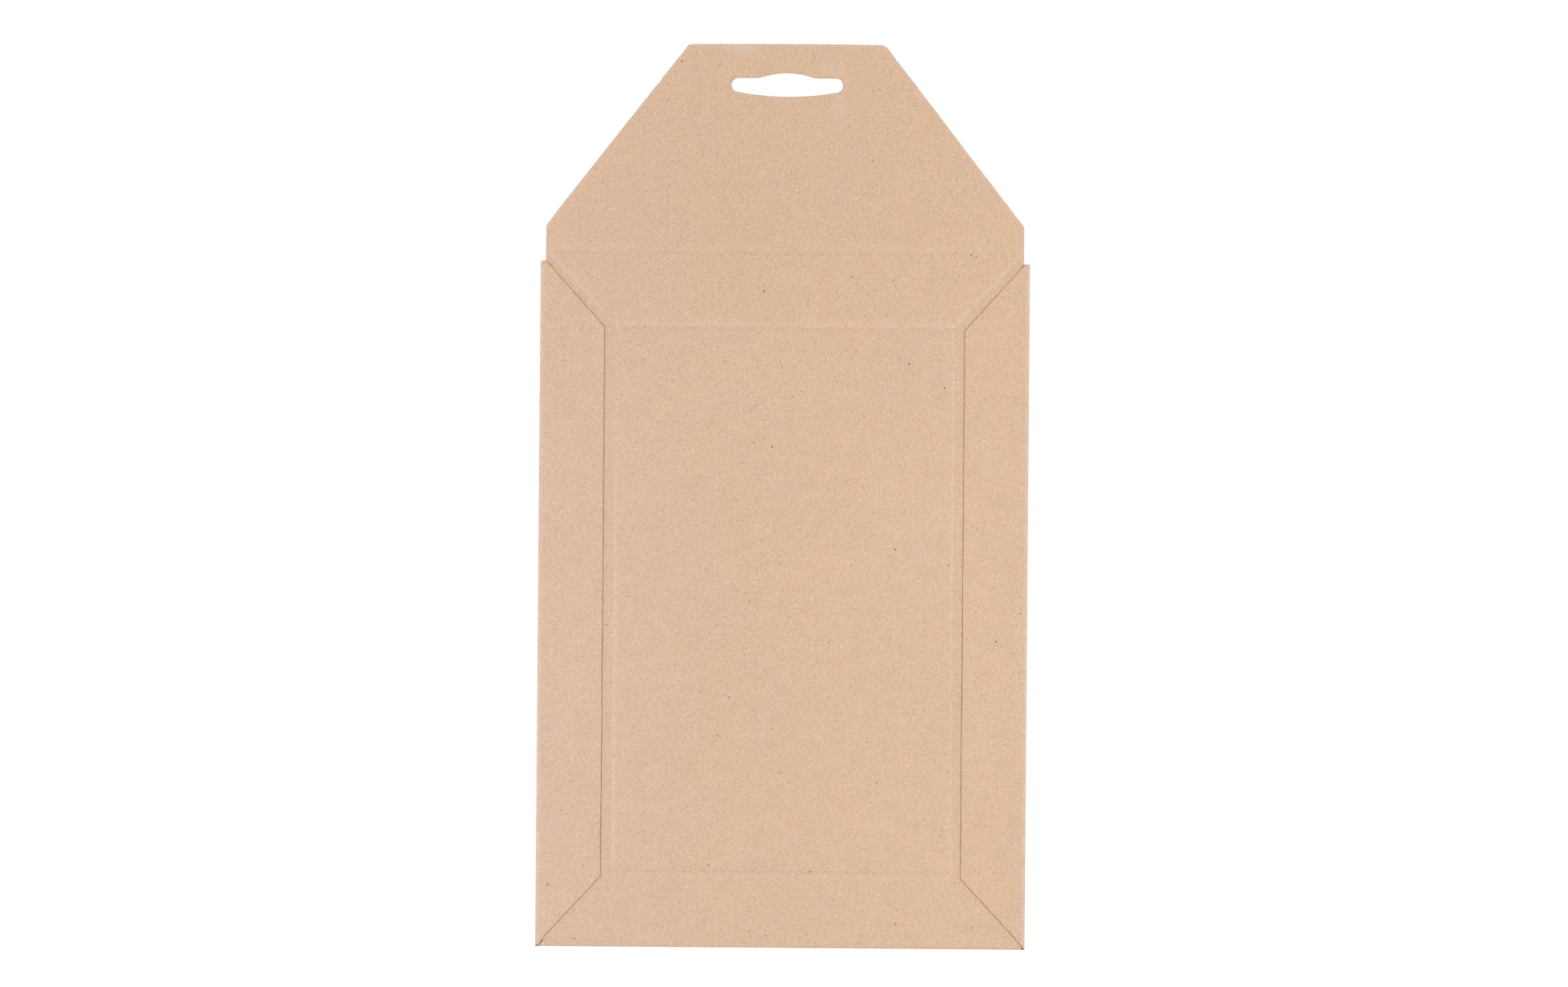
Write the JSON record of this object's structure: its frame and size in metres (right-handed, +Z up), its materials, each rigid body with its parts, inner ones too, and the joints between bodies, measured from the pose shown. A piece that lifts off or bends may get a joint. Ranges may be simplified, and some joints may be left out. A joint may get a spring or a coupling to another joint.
{
  "type": "rigid mailer envelope",
  "caption": "Flat mailer envelope folded from one blank of stiff recycled board, with glued mitred side flaps, score lines and an open tapered closure flap that has a hang slot.",
  "frame": {"origin": "under the middle of the whole outline with the closure flap open, at the level that the front panel rests on", "axes": "+Y from the bottom fold towards the closure flap, +X to the right seen from above, +Z up out of the back panel with the side flaps"},
  "size_m": [0.185, 0.342, 0.0021],
  "materials": {
    "board": "matt uncoated recycled board with fine fibres and specks",
    "glue": "dried glue, hidden between two layers of board"
  },
  "bodies": {
    "root": {"folded_blank": "board", "glue_seam_left": "glue", "glue_seam_right": "glue"}
  },
  "joints": []
}
